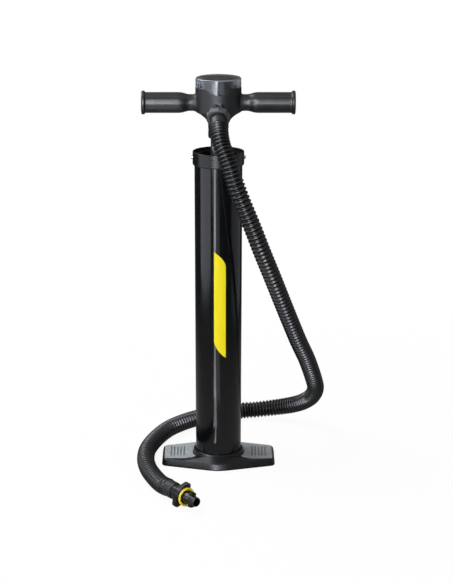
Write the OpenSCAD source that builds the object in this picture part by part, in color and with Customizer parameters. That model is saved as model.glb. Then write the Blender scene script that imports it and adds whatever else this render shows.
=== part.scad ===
// Double action hand pump: foot base, barrel, hollow rod with piston, T handle with a
// pressure gauge, and a corrugated hose that ends in a bayonet nozzle.
// Millimetres, +Z up, origin on the floor under the barrel's axis. The front faces -Y.
// The handle is drawn fully down.

/* [Base] */
// Width of the foot base, end to end
base_w = 174; // [160:1:210]
// Depth of the foot base at its middle
base_mid_d = 114; // [108:1:140]
// Depth of the foot base at its ends
base_end_d = 71; // [66:1:92]
// Corner radius of the foot base
base_corner = 9; // [8:0.5:14]
// Height of the foot plate's top
base_h = 10.2; // [9:0.1:14]
// How far the plate's front and rear walls lean in
base_lean = 3; // [1:0.5:5]
// How far the plate's end walls lean in
base_end_lean = 1.5; // [0.5:0.5:4]
// Rounding of the plate's upper edge
base_round = 1.2; // [0.5:0.1:2]
// Thickness of the floor under the barrel
base_floor = 5; // [4:0.5:6]
// Height of the collar above the foot plate
collar_rise = 8.3; // [6:0.1:16]
// Wall of the collar round the barrel
collar_wall = 3.4; // [2.5:0.1:5]
// Half width of the ramp in front of the collar, at the collar's top
ramp_top_w = 14; // [8:1:20]
// Half width of the ramp at the collar's foot
ramp_foot_w = 33; // [28:1:35]
// Distance from the barrel's axis to the line where the ramp meets the front edge
ramp_line = 38; // [36:0.5:42]

/* [Foot pads] */
// How far a pad stands above the foot plate
pad_proud = 0.6; // [0.2:0.1:3]
// Depth of the pocket that a pad sits in
pad_sink = 1.2; // [0.8:0.1:2]
// Strip of foot plate left round a pad, at its end and its rear
pad_margin = 1.2; // [0.8:0.1:4]
// Distance of a pad's front edge from the barrel's axis
pad_front = 27; // [24:0.5:28]
// Grooves in each pad
groove_count = 5; // [2:1:6]
// Spacing of the grooves
groove_pitch = 5; // [4:0.5:6]
// Width of a groove
groove_w = 1.8; // [1:0.1:2.5]
// Depth of a groove
groove_depth = 1; // [0.5:0.1:1.5]
// Length of a groove
groove_len = 40; // [20:1:50]

/* [Barrel] */
// Bore of the barrel
bore_d = 64; // [58:1:68]
// Wall of the barrel at its lower end
barrel_wall = 2.75; // [2:0.05:4]
// Extra wall at the barrel's upper end
barrel_draft = 1; // [0:0.1:1.5]
// Length of the barrel
barrel_len = 473.5; // [300:0.5:600]
// Thickness of the plug in the barrel's lower end
plug_h = 12; // [10:0.5:18]
// Thickness of each rubber buffer
buffer_h = 3; // [2:0.5:5]

/* [Cap] */
// Wall of the cap's skirt
cap_wall = 2.5; // [2:0.1:4]
// Height of the cap
cap_h = 20.5; // [16:0.5:30]
// Height of the cap's rim above the barrel's end
cap_rim = 6.5; // [4:0.5:7]
// Depth of the cup that carries the rod guide
cup_depth = 14; // [11:0.5:18]
// Diameter of a screw's shank
screw_d = 3; // [2.5:0.1:3.5]
// Diameter of a screw's head
screw_head_d = 5.6; // [5:0.1:6.5]

/* [Rod and piston] */
// Outer diameter of the rod
rod_d = 23; // [20:0.5:25]
// Wall of the rod
rod_wall = 1.5; // [1:0.1:2]
// Outer diameter of the air tube inside the rod
air_tube_d = 13; // [11:0.5:14]
// Wall of the guide bush
bush_wall = 3; // [2:0.1:3.5]
// Height of the guide bush
bush_h = 9; // [7:0.5:12]
// Height of the piston
piston_h = 26; // [24:0.5:34]
// Section diameter of the piston ring
ring_d = 4; // [3:0.1:5]

/* [Handle] */
// Gap between the cap's rim and the neck when the handle is down
handle_gap = 19.5; // [5:0.5:60]
// Length of the straight neck
neck_len = 21; // [16:0.5:40]
// Outer diameter of the neck
neck_d = 30.4; // [29.5:0.1:34]
// Height of the flare from the neck to the hub
flare_h = 19; // [17:0.5:26]
// Diameter of the hub
hub_d = 68; // [66:0.5:74]
// Height of the hub's straight part
hub_h = 36.8; // [34:0.1:46]
// Wall of the hub
hub_wall = 4.5; // [4:0.1:5]
// Height of the grips' axis above the flare
grip_rise = 12.8; // [11.5:0.1:15]
// Width of the handle, end to end
handle_w = 227; // [200:1:300]
// Diameter of a grip
grip_d = 30.6; // [27:0.2:34]
// Diameter of a grip at its slim inner end
grip_slim_d = 24.6; // [22:0.2:26]
// Diameter of the flange at a grip's end
grip_flange_d = 35; // [32:0.5:42]
// Diameter of the core inside a grip
core_d = 18; // [14:0.5:19]

/* [Hose port] */
// Downward tilt of the two ports on the hub
port_tilt = 35; // [30:1:40]
// Outer diameter of a port's spigot
port_d = 29; // [27:0.5:30]
// Bore of a port
port_bore_d = 18; // [14:0.5:20]
// Outer diameter of the hose nut
nut_d = 34; // [33.5:0.1:37]
// Height of the hose nut
nut_h = 7.5; // [6.5:0.5:9]
// Lugs round the hose nut and ribs round a port
nut_lugs = 10; // [6:1:12]

/* [Gauge] */
// Outer diameter of the clear cover
lens_d = 67.4; // [64:0.1:67.5]
// Height of the clear cover above the hub
lens_h = 13.4; // [13:0.1:18]
// Wall of the clear cover
lens_wall = 2.4; // [2:0.1:2.6]
// Diameter of the posts inside the clear cover
post_d = 5.2; // [4:0.1:6]
// Drop of the cover's tongues down the hub
tongue_drop = 8; // [5:0.5:11]
// Half width of a tongue at its top
tongue_w = 20; // [10:0.5:22]
// Diameter of the gauge case
gauge_d = 45; // [43:0.5:50]
// Length of the needle
needle_len = 15; // [10:0.5:17]

/* [Valves] */
// Distance of the valve pockets from the axis
valve_at = 19; // [18.5:0.1:20]
// Diameter of a valve disc
valve_d = 11; // [9:0.5:12]
// Thickness of a valve disc
valve_t = 1.6; // [1:0.1:2]

/* [Hose and nozzle] */
// Outer diameter of the hose
hose_d = 27.5; // [24:0.5:30]
// Wall of the hose
hose_wall = 2.2; // [1.5:0.1:3]
// Outer diameter of the smooth cuffs at the hose's ends
cuff_d = 24.2; // [22:0.1:25]
// Diameter of the gasket ring on the nozzle
gasket_d = 28.2; // [26:0.2:30]
// Section diameter of the gasket ring
gasket_t = 3.4; // [2.6:0.1:4]
// Diameter of the nozzle's mouth
tip_d = 15; // [13:0.5:16]
// Distance between the centres of the nozzle's two wings
wing_span = 30; // [28:0.5:32]
// Lean of the wings from the floor
wing_angle = 51; // [30:1:52]
// Lean of the lugs on the mouth from the floor
lug_angle = 78; // [60:1:90]

/* [Hidden] */
$fn = 96;
fit = 0.15;
run = 0.05;
seat = 0.2;

bore_r = bore_d / 2;
barrel_r = bore_r + barrel_wall;
barrel_top_r = barrel_r + barrel_draft;
barrel_z = base_floor;
barrel_top = barrel_z + barrel_len;
collar_r = barrel_r + fit + collar_wall;
collar_top = base_h + collar_rise;
plug_top = barrel_z + plug_h;

rod_r = rod_d / 2;
air_r = air_tube_d / 2;
piston_z = plug_top + buffer_h + seat;
piston_top = piston_z + piston_h;
piston_r = bore_r - 0.3;
ring_r = ring_d / 2;
rod_z = piston_z + 9;

cap_r = barrel_top_r + fit + cap_wall;
cap_top = barrel_top + cap_rim;
cup_r = bore_r - fit - 2.5;
cup_floor = barrel_top - cup_depth;
guide_r = rod_r + run + bush_wall;
guide_z = cup_floor - 6.5;
screw_z = barrel_top - 3;

hub_z = cap_top + handle_gap;
flare_z = hub_z + neck_len;
deck_z = flare_z + flare_h;
hub_top = deck_z + hub_h;
hub_r = hub_d / 2;
chamber_r = hub_r - hub_wall;
rod_top = hub_z + neck_len + 6;
grip_z = deck_z + grip_rise;
grip_in = hub_r + 4.5;
grip_out = handle_w / 2;
core_in = chamber_r + 1.5;
core_out = grip_out - 9;
plug_len = 8.2;

port_y = hub_r + 2;
port_z = deck_z - 6;
port_mouth = -4;
port_step = -nut_h - 0.5;
port_deep = 27;
boss_r = port_d / 2 + 1.1;
flange_t = 1.5;
nut_lip = 2.2;

block_rise = 13;
block_h = 11;
block_z = deck_z + block_rise;
block_top = block_z + block_h;
pocket_floor = block_z + 3.5;
case_top = hub_top + lens_h - 3.6;
dial_z = case_top - 3.6;
lens_r = lens_d / 2;
gauge_r = gauge_d / 2;
stem_r = 2.3;
stem_at = gauge_r - 7;
coil_t = 0.6;

hose_r = hose_d / 2;
cuff_r = cuff_d / 2;
cuff_out = 14;
nozzle_at = [-72, -168, 17.2];
nozzle_turn = -54;
cuff_len = 18;
wing_z = 27;
wing_t = 9;
gasket_z = 43;
nozzle_end = 70;
lug_z = gasket_z + 12.2;
lug_t = 4.8;
lug_w = 9;
lug_r = 11.2;
nose_z = lug_z + lug_t + 0.2;

// Points that the middle of the hose passes, chosen by hand from the hub to the nozzle
hose_route = [
    [1.5, -60, 521.5], [3, -67, 514], [5.5, -73, 505], [9, -77, 497], [13, -80, 487],
    [18, -83, 473], [25, -85, 451.5], [33, -84.5, 429], [42, -81, 406], [51, -76, 383],
    [63, -67, 350], [82, -47, 299], [101, -21, 246], [122, 12, 188], [138, 40, 147],
    [151, 75, 103], [155, 104, 78], [150, 131, 56], [138, 150, 41], [125, 163, 32],
    [109, 174, 25], [86, 182, 19], [60, 185, 15], [38, 183, 14], [0, 168, 14],
    [-40, 142, 14], [-69, 111, 14], [-86, 82, 14], [-101, 40, 14], [-110, -2, 14],
    [-111, -44, 14], [-106, -80, 14], [-99, -106, 14], [-89, -134, 14], [-81, -152, 15]
];
hose_sides = 10;
hose_parts = 2;

// Points of an arc, and of a smooth bend through one control point
function arc(x, y, r, from, to, n = 6) =
    [for (i = [0 : n]) let (a = from + (to - from) * i / n) [x + r * cos(a), y + r * sin(a)]];
function bend(a, b, c, n = 8) =
    [for (i = [0 : n]) let (t = i / n) a * (1 - t) * (1 - t) + b * 2 * t * (1 - t) + c * t * t];
function unit(v) = v / norm(v);

// Frame of a port: side 1 is the front, -1 the rear, and +Z runs out of its mouth
module at_port(side = 1) {
    translate([0, -side * port_y, port_z])
        rotate([side * (90 + port_tilt), 0, 0])
            children();
}

// Frame of the nozzle: +Z runs from the hose to the tip
module at_nozzle() {
    translate(nozzle_at)
        rotate([0, 90, nozzle_turn])
            children();
}

// A ring of height h
module tube(r_out, r_in, h) {
    difference() {
        cylinder(r = r_out, h = h);
        translate([0, 0, -1])
            cylinder(r = r_in, h = h + 2);
    }
}

// A round ring whose section is a circle
module round_ring(r, section_r) {
    rotate_extrude()
        translate([r, 0])
            circle(r = section_r, $fn = 32);
}

// A screw with its shank down -Z and its domed head above zero
module pan_screw(shank) {
    head_r = screw_head_d / 2;
    rotate_extrude($fn = 32)
        polygon(concat(
            [[0, -shank], [screw_d / 2 - 0.6, -shank], [screw_d / 2, -shank + 1]],
            [[screw_d / 2, 0], [head_r, 0]],
            bend([head_r, 0.7], [head_r - 0.3, 1.9], [0, 2.1], 5)));
}

// Outline of the foot plate: a round middle, straight flanks and four round corners
function foot_quarter(mid_r, at_x, at_y, corner_r) =
    let (meet = atan2(at_y, at_x) + acos((mid_r - corner_r) / norm([at_x, at_y])))
    concat(arc(at_x, at_y, corner_r, 0, meet, 5), arc(0, 0, mid_r, meet, 90, 5));
function foot_half(quarter) =
    concat(quarter, [for (i = [len(quarter) - 2 : -1 : 0]) [-quarter[i][0], quarter[i][1]]]);
function foot_whole(half) = concat(half, [for (p = half) -p]);
function foot_outline(share, margin) =
    let (corner_r = max(base_corner - margin, 1))
    foot_whole(foot_half(foot_quarter(
        base_mid_d / 2 - base_lean * share - margin,
        base_w / 2 - base_end_lean * share - margin - corner_r,
        base_end_d / 2 - base_lean * share - margin - corner_r,
        corner_r)));

// Slab of the foot plate's outline; share 0 is the floor, 1 the top
module foot_slab(share, margin, h) {
    linear_extrude(h)
        polygon(foot_outline(share, margin));
}

module foot_plate() {
    hull() {
        foot_slab(0, 0, 1.5);
        foot_slab(1, 0, base_h - base_round);
        foot_slab(1, base_round, base_h);
    }
}

// Front part of the collar within a half width
module collar_front(half_w, h) {
    intersection() {
        cylinder(r = collar_r, h = h);
        translate([-half_w, -2 * collar_r, 0])
            cube([2 * half_w, 2 * collar_r - sqrt(collar_r * collar_r - half_w * half_w), h]);
    }
}

// Ramp from the front edge up to the collar
module foot_ramp() {
    hull() {
        collar_front(ramp_top_w, collar_top - 1.2);
        collar_front(ramp_foot_w, base_h + 1);
        intersection() {
            foot_slab(1, base_round, base_h);
            translate([-base_w, -base_mid_d, 0])
                cube([2 * base_w, base_mid_d - ramp_line, base_h]);
        }
    }
}

// Foot plate, ramp and collar in one moulding
module base_foot() {
    color("#1b1c1d")
    difference() {
        union() {
            foot_plate();
            foot_ramp();
            rotate_extrude()
                polygon(concat(
                    [[0, 1], [collar_r, 1]],
                    arc(collar_r - 1.4, collar_top - 1.4, 1.4, 0, 90, 4),
                    [[0, collar_top]]));
        }
        translate([0, 0, base_floor])
            cylinder(r = barrel_r + fit, h = collar_top);
        pad_plan(base_h - pad_sink, pad_sink + 1, pad_margin - fit, 0);
        mirror([1, 0, 0])
            pad_plan(base_h - pad_sink, pad_sink + 1, pad_margin - fit, 0);
        base_screw_places()
            translate([0, 0, -1])
                cylinder(r = screw_d / 2 + fit, h = base_floor + 2, $fn = 32);
        base_screw_places()
            translate([0, 0, -1])
                cylinder(r = screw_head_d / 2 + 0.4, h = 3.4, $fn = 32);
    }
}

// Outline of the pad on the -X side
module pad_plan(z, h, margin, gap) {
    difference() {
        translate([0, 0, z])
            foot_slab(1, base_round + margin, h);
        translate([0, 0, z - 1])
            cylinder(r = collar_r + 1.2 + gap, h = h + 2);
        translate([0, 0, z - 1])
            foot_front_plan(gap, h + 2);
        translate([-collar_r + 8 + gap, -base_mid_d, z - 1])
            cube([base_w + base_mid_d, 2 * base_mid_d, h + 2]);
    }
}

// Front strip and ramp that a pad leaves free, grown by a gap
module foot_front_plan(gap, h) {
    foot_y = sqrt(collar_r * collar_r - ramp_foot_w * ramp_foot_w);
    linear_extrude(h)
        polygon([
            [-base_w, -base_mid_d], [-base_w, gap - pad_front], [-ramp_foot_w * 1.55, gap - pad_front - 1],
            [-ramp_foot_w * 1.27, gap - pad_front + 3], [-ramp_foot_w, gap - foot_y + 1.4],
            [0, -foot_y], [0, -base_mid_d]]);
}

module base_screw_places() {
    for (a = [45 : 90 : 315])
        rotate([0, 0, a])
            translate([bore_r * 0.7, 0, 0])
                children();
}

module foot_pad() {
    groove_z = base_h + pad_proud - groove_depth;
    groove_shift = 3;
    first = (base_w / 2 + collar_r) / 2 - groove_pitch * (groove_count - 1) / 2;
    color("#7d8286")
    difference() {
        pad_plan(base_h - pad_sink, pad_sink + pad_proud, pad_margin, fit);
        for (i = [0 : groove_count - 1])
            translate([-first - i * groove_pitch - groove_w / 2, groove_shift - groove_len / 2, groove_z])
                cube([groove_w, groove_len, groove_depth + 1]);
    }
}

module foot_pad_left() {
    foot_pad();
}

module foot_pad_right() {
    mirror([1, 0, 0])
        foot_pad();
}

module base_screws() {
    color("#9a9da0")
    base_screw_places()
        translate([0, 0, 2.4])
            rotate([180, 0, 0])
                pan_screw(base_floor + 6);
}

module barrel_tube() {
    color("#141516")
    difference() {
        rotate_extrude()
            polygon([
                [bore_r, barrel_z], [barrel_r, barrel_z],
                [barrel_top_r, barrel_top], [bore_r, barrel_top]]);
        cap_screw_places()
            cylinder(r = screw_d / 2 + fit, h = 16, center = true, $fn = 32);
    }
}

module barrel_plug() {
    color("#2a2c2e")
    difference() {
        translate([0, 0, barrel_z])
            cylinder(r = bore_r - 0.1, h = plug_h);
        translate([0, 0, barrel_z + plug_h / 2 - 1.2])
            tube(bore_r + 2, bore_r - 2.3, 2.4);
        base_screw_places()
            translate([0, 0, barrel_z - 1])
                cylinder(r = screw_d / 2 + run, h = 7.6 + base_floor - 2.4, $fn = 32);
    }
}

module plug_ring() {
    color("#101010")
    translate([0, 0, barrel_z + plug_h / 2])
        round_ring(bore_r - 1.17, 1.1);
}

module lower_buffer() {
    color("#1d1d1d")
    translate([0, 0, plug_top])
        tube(bore_r - 3, rod_r + 3, buffer_h);
}

module upper_buffer() {
    color("#1d1d1d")
    translate([0, 0, guide_z - buffer_h])
        tube(bore_r - 3, guide_r + 1, buffer_h);
}

// Places of the screws through the cap, with +Z pointing outward from the cap's skirt
module cap_screw_places() {
    for (a = [0, 180])
        rotate([0, 0, a])
            translate([cap_r, 0, screw_z])
                rotate([0, 90, 0])
                    children();
}

module barrel_cap() {
    skirt_z = cap_top - cap_h;
    rim_r = cap_r - 2;
    color("#1a1b1c")
    difference() {
        rotate_extrude()
            polygon(concat(
                [[barrel_top_r + fit, skirt_z], [cap_r - 1.2, skirt_z], [cap_r, skirt_z + 1.6]],
                arc(cap_r - 1, cap_top - 1, 1, 0, 180, 8),
                [[rim_r, barrel_top + 1.6], [cup_r, barrel_top + 1.6], [cup_r, cup_floor]],
                [[guide_r + 4, cup_floor], [guide_r + 3, cup_floor + 5], [guide_r + run, cup_floor + 5]],
                [[guide_r + run, guide_z], [bore_r - fit, guide_z]],
                [[bore_r - fit, barrel_top + 0.05], [barrel_top_r + fit, barrel_top + 0.05]]));
        cap_screw_places()
            translate([0, 0, -cap_wall - barrel_wall - barrel_draft - 4])
                cylinder(r = screw_d / 2 + run, h = 20, $fn = 32);
        translate([0, 0, guide_z + 3])
            tube(bore_r + 1, bore_r - fit - 2.1, 2.2);
    }
}

module cap_gasket() {
    color("#101010")
    translate([0, 0, guide_z + 4.1])
        round_ring(bore_r - 1.07, 1);
}

module cap_screws() {
    color("#b9bcc0")
    cap_screw_places()
        pan_screw(cap_wall + barrel_wall + barrel_draft + 1.8);
}

module rod_bush() {
    color("#d8d8d2")
    translate([0, 0, guide_z])
        tube(guide_r, rod_r + run, bush_h);
}

module rod_wiper() {
    color("#0f0f0f")
    translate([0, 0, guide_z + bush_h + run])
        tube(guide_r - 0.1, rod_r + run, cup_floor + 4.6 - guide_z - bush_h);
}

module rod_tube() {
    color("#c9cccf")
    difference() {
        translate([0, 0, rod_z])
            tube(rod_r, rod_r - rod_wall, rod_top - rod_z);
        for (a = [0, 90])
            translate([0, 0, piston_top + 7])
                rotate([90, 0, a])
                    cylinder(r = 2.5, h = 2 * rod_d, center = true, $fn = 32);
        rod_pin_places()
            translate([0, 0, -0.5])
                cylinder(r = 2 + run, h = 20, $fn = 32);
    }
}

module air_tube() {
    color("#e4e4de")
    translate([0, 0, piston_z + 0.6])
        tube(air_r, air_r - 1.3, block_z - 1 - piston_z);
}

// Places of the two pins that hold the rod in the neck, with +Z pointing outward
module rod_pin_places() {
    for (s = [0, 180])
        translate([0, 0, hub_z + neck_len * 0.6])
            rotate([0, 0, s])
                rotate([0, 90, 0])
                    translate([0, 0, rod_r - rod_wall])
                        children();
}

module rod_pins() {
    color("#a8abae")
    rod_pin_places()
        cylinder(r = 2, h = neck_d / 2 - 0.5 - rod_r + rod_wall, $fn = 32);
}

module piston_body() {
    groove_z = piston_z + piston_h / 2;
    color("#3a3c3f")
    difference() {
        translate([0, 0, piston_z])
            cylinder(r = piston_r, h = piston_h);
        translate([0, 0, groove_z - ring_r - 0.1])
            tube(bore_r + 2, bore_r - ring_d - 0.2, ring_d + 0.2);
        translate([0, 0, rod_z])
            cylinder(r = rod_r + run, h = piston_h);
        translate([0, 0, piston_z - 1])
            cylinder(r = air_r + run, h = piston_h);
        translate([0, 0, piston_z - 1])
            cylinder(r = rod_r - 0.5, h = 6);
    }
}

module piston_ring() {
    color("#0d0d0d")
    translate([0, 0, piston_z + piston_h / 2])
        round_ring(bore_r - 0.1 - ring_r, ring_r);
}

module piston_nut() {
    color("#b9bcc0")
    translate([0, 0, piston_z + 1])
        difference() {
            cylinder(r = rod_r - 1, h = 4, $fn = 6);
            translate([0, 0, -1])
                cylinder(r = air_r + run, h = 6);
        }
}

// One arm of the hub, along +Z from the hub's axis
module arm() {
    slim_r = grip_slim_d / 2;
    rotate_extrude()
        polygon(concat(
            [[0, chamber_r - 2], [slim_r + 2, chamber_r - 2]],
            bend([slim_r + 2, hub_r - 4], [slim_r + 0.2, hub_r], [slim_r, grip_in - 0.2]),
            [[0, grip_in - 0.2]]));
}

// One grip's core, along +Z from the hub's axis
module grip_core() {
    color("#2c2e30")
    translate([0, 0, grip_z])
        rotate([0, 90, 0])
            rotate_extrude()
                polygon([
                    [0, core_in + seat], [core_d / 2, core_in + seat], [core_d / 2, core_out - 1],
                    [core_d / 2 - 1, core_out], [0, core_out]]);
}

module grip_core_left() {
    rotate([0, 0, 180])
        grip_core();
}

module grip_core_right() {
    grip_core();
}

// Port on the hub: boss with ribs, and the spigot that takes the hose nut
module port() {
    translate([0, 0, -port_deep])
        cylinder(r = boss_r, h = port_deep + port_step);
    translate([0, 0, -port_deep])
        cylinder(r = port_d / 2, h = port_deep + port_mouth);
    for (i = [0 : nut_lugs - 1])
        rotate([0, 0, i * 360 / nut_lugs])
            translate([boss_r - 1, -2, port_step - 6])
                cube([2.4, 4, 5.8]);
}

module handle_hub() {
    color("#1c1d1f")
    difference() {
        union() {
            rotate_extrude()
                polygon(concat(
                    [[0, hub_z]],
                    arc(neck_d / 2 - 2.5, hub_z + 2.5, 2.5, -90, 0, 5),
                    bend([neck_d / 2, flare_z], [neck_d / 2 + 2, flare_z + flare_h * 0.52],
                         [hub_r - 1.6, deck_z - 0.9], 10),
                    arc(hub_r - 2, deck_z + 1, 2, -50, 0, 4),
                    arc(hub_r - 1.2, hub_top - 1.2, 1.2, 0, 90, 4),
                    [[0, hub_top]]));
            for (s = [-90, 90])
                translate([0, 0, grip_z])
                    rotate([0, s, 0])
                        arm();
            for (side = [-1, 1])
                at_port(side)
                    port();
        }
        translate([0, 0, deck_z])
            cylinder(r = chamber_r, h = hub_h + 1);
        translate([0, 0, hub_z - 1])
            cylinder(r = rod_r + run, h = rod_top - hub_z + 1);
        translate([0, 0, hub_z])
            cylinder(r = rod_r - rod_wall, h = deck_z - hub_z + 1);
        for (s = [-90, 90])
            translate([0, 0, grip_z])
                rotate([0, s, 0])
                    translate([0, 0, core_in])
                        cylinder(r = core_d / 2 + run, h = hub_r);
        for (side = [-1, 1])
            at_port(side)
                translate([0, 0, -port_deep])
                    cylinder(r = port_bore_d / 2, h = port_deep + 10);
        rod_pin_places()
            translate([0, 0, -1])
                cylinder(r = 2 + run, h = 20, $fn = 32);
        for (s = [0, 180])
            rotate([0, 0, s])
                tongue(fit, 3);
    }
}

// Tongue of the clear cover on the front of the hub
module tongue(gap, extra) {
    w = tongue_w + gap;
    intersection() {
        translate([0, 0, hub_top - tongue_drop - 2])
            tube(hub_r - 0.1 + extra, hub_r - 2.2 - gap, tongue_drop + 2 + extra);
        translate([0, 0, hub_top + extra])
            rotate([90, 0, 0])
                linear_extrude(hub_r + 6)
                    polygon(concat(
                        [[w, 0], [w, -extra]],
                        bend([w - 1, -extra - 1], [w * 0.35, -extra - tongue_drop * 1.15 - gap],
                             [0, -extra - tongue_drop - gap], 6),
                        bend([0, -extra - tongue_drop - gap],
                             [-w * 0.35, -extra - tongue_drop * 1.15 - gap],
                             [-w + 1, -extra - 1], 6),
                        [[-w, -extra], [-w, 0]]));
    }
}

// One grip, along +Z from the hub's axis
module grip() {
    slim_r = grip_slim_d / 2;
    full_r = grip_d / 2;
    end_r = grip_flange_d / 2;
    mid = (full_r + slim_r) / 2;
    flange_z = grip_out - 6;
    color("#1e1f21")
    rotate_extrude()
        polygon(concat(
            [[core_d / 2 + fit, grip_in], [slim_r, grip_in]],
            bend([slim_r, grip_in + 3], [slim_r, grip_in + 7], [mid, grip_in + 11], 5),
            bend([mid, grip_in + 11], [full_r, grip_in + 16], [full_r, grip_in + 21], 5),
            bend([full_r, flange_z - 2], [full_r, flange_z + 0.5], [end_r - 1.5, flange_z + 0.8], 4),
            arc(end_r - 1.5, flange_z + 2.3, 1.5, -60, 0, 3),
            arc(end_r - 2, grip_out - 2, 2, 0, 90, 4),
            [[core_d / 2 + fit, grip_out]]));
}

module grip_left() {
    translate([0, 0, grip_z])
        rotate([0, -90, 0])
            grip();
}

module grip_right() {
    translate([0, 0, grip_z])
        rotate([0, 90, 0])
            grip();
}

module grip_plugs() {
    color("#151617")
    for (s = [-90, 90])
        translate([0, 0, grip_z])
            rotate([0, s, 0])
                translate([0, 0, core_out + seat])
                    cylinder(r = core_d / 2 + 0.1, h = plug_len);
}

// Places of the four valve pockets; pairs lie across from each other
module valve_places(first) {
    for (a = [first, first + 180])
        rotate([0, 0, a])
            translate([valve_at, 0, 0])
                children();
}

module valve_block() {
    color("#4a4d50")
    difference() {
        union() {
            translate([0, 0, block_z])
                cylinder(r = chamber_r - fit, h = block_top - block_z);
            translate([0, 0, deck_z])
                cylinder(r = air_r + 4, h = block_rise + 1);
            translate([-chamber_r + 1, -1, deck_z])
                cube([2 * chamber_r - 2, 2, block_rise + 1]);
        }
        translate([0, 0, deck_z - 1])
            cylinder(r = air_r + run, h = block_z - deck_z + 2);
        for (a = [45, 135])
            valve_places(a) {
                translate([0, 0, pocket_floor])
                    cylinder(r = valve_d / 2 + 0.6, h = 2 * block_h);
                translate([0, 0, block_z - 1])
                    cylinder(r = valve_d / 2 - 2, h = 2 * block_h);
            }
    }
}

module valve_pair(first) {
    color("#b5452e")
    valve_places(first)
        translate([0, 0, pocket_floor + run])
            rotate_extrude($fn = 48)
                polygon([
                    [0, 0], [valve_d / 2, 0], [valve_d / 2, valve_t * 0.6],
                    [valve_d / 4, valve_t], [0, valve_t]]);
}

module valves_down() {
    valve_pair(45);
}

module valves_up() {
    valve_pair(135);
}

module gauge_case() {
    color("#202224")
    difference() {
        union() {
            translate([0, 0, block_top])
                cylinder(r = chamber_r - fit, h = 3);
            translate([0, 0, block_top])
                cylinder(r = gauge_r, h = case_top - block_top);
        }
        translate([0, 0, block_top + 2.5])
            cylinder(r = gauge_r - 3.6, h = case_top - block_top);
        translate([0, 0, dial_z])
            cylinder(r = gauge_r - 1.8, h = case_top - dial_z + 1);
        translate([stem_at, 0, block_top - 1])
            cylinder(r = stem_r + 0.1, h = 5, $fn = 32);
    }
}

module gauge_stem() {
    color("#c79a45")
    translate([stem_at, 0, block_top + run])
        cylinder(r = stem_r, h = 8, $fn = 32);
}

// Flat coil spring of the gauge, a band that winds in from the stem
module gauge_spiral() {
    turns = 3;
    last = 90;
    from = stem_at - stem_r - coil_t - 0.02;
    inner = [for (i = [0 : last]) let (r = from + (2.4 - from) * i / last, a = 360 * turns * i / last)
        [r * cos(a), r * sin(a)]];
    outer = [for (i = [last : -1 : 0])
        let (r = from + (2.4 - from) * i / last + coil_t, a = 360 * turns * i / last)
        [r * cos(a), r * sin(a)]];
    color("#c08a3e")
    translate([0, 0, block_top + 4])
        linear_extrude(3.4)
            polygon(concat(inner, outer));
}

module gauge_dial() {
    color("#2a2d31")
    translate([0, 0, dial_z + 0.02])
        tube(gauge_r - 1.9, 1.7, 0.9);
}

module gauge_needle() {
    color("#e6e6e0")
    union() {
        translate([0, 0, block_top + 3])
            cylinder(r = 1.3, h = case_top + 0.6 - block_top - 3, $fn = 32);
        translate([0, 0, case_top - 1.6])
            cylinder(r = 2.8, h = 1.6, $fn = 32);
        rotate([0, 0, 225])
            translate([0, 0, case_top - 1.2])
                linear_extrude(0.7)
                    polygon([[-5, -1], [-5, 1], [0, 1.2],
                             [needle_len, 0.35], [needle_len, -0.35], [0, -1.2]]);
    }
}

module gauge_lens() {
    lens_top = hub_top + lens_h;
    shoulder = 2.6;
    post_at = lens_r - lens_wall - post_d / 2 + 0.4;
    color([0.85, 0.88, 0.9, 0.35])
    union() {
        rotate_extrude()
            polygon(concat(
                [[lens_r - lens_wall, hub_top], [lens_r, hub_top]],
                arc(lens_r - shoulder, lens_top - shoulder, shoulder, 0, 90, 6),
                [[0, lens_top], [0, lens_top - 2.4], [lens_r - lens_wall, lens_top - 2.4]]));
        for (s = [0, 180])
            rotate([0, 0, s])
                tongue(0, 0.4);
        for (a = [18, 162, 198, 342])
            rotate([0, 0, a])
                translate([post_at, 0, hub_top])
                    cylinder(r = post_d / 2, h = lens_h - 2, $fn = 32);
    }
}

module hose_nut() {
    outer = nut_d / 2;
    color("#8b8f92")
    at_port()
        union() {
            rotate_extrude()
                polygon(concat(
                    [[cuff_r + seat, 0], [cuff_r + seat, -nut_lip], [port_d / 2 + seat, -nut_lip]],
                    [[port_d / 2 + seat, -nut_h], [outer - 0.4, -nut_h], [outer, -nut_h + 0.4]],
                    arc(outer - 1.2, -1.2, 1.2, 0, 90, 4)));
            for (i = [0 : nut_lugs - 1])
                rotate([0, 0, (i + 0.5) * 360 / nut_lugs])
                    translate([outer - 1, -2, -nut_h + 0.2])
                        cube([1.7, 4, nut_h - 1.6]);
        }
}

module hose_cuff_upper() {
    flange_z = -nut_lip - 0.1;
    color("#1a1b1c")
    at_port()
        rotate_extrude()
            polygon([
                [cuff_r - 2.6, flange_z - flange_t], [port_d / 2 - 0.1, flange_z - flange_t],
                [port_d / 2 - 0.1, flange_z], [cuff_r, flange_z],
                [cuff_r, cuff_out], [cuff_r - 2.6, cuff_out]]);
}

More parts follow.
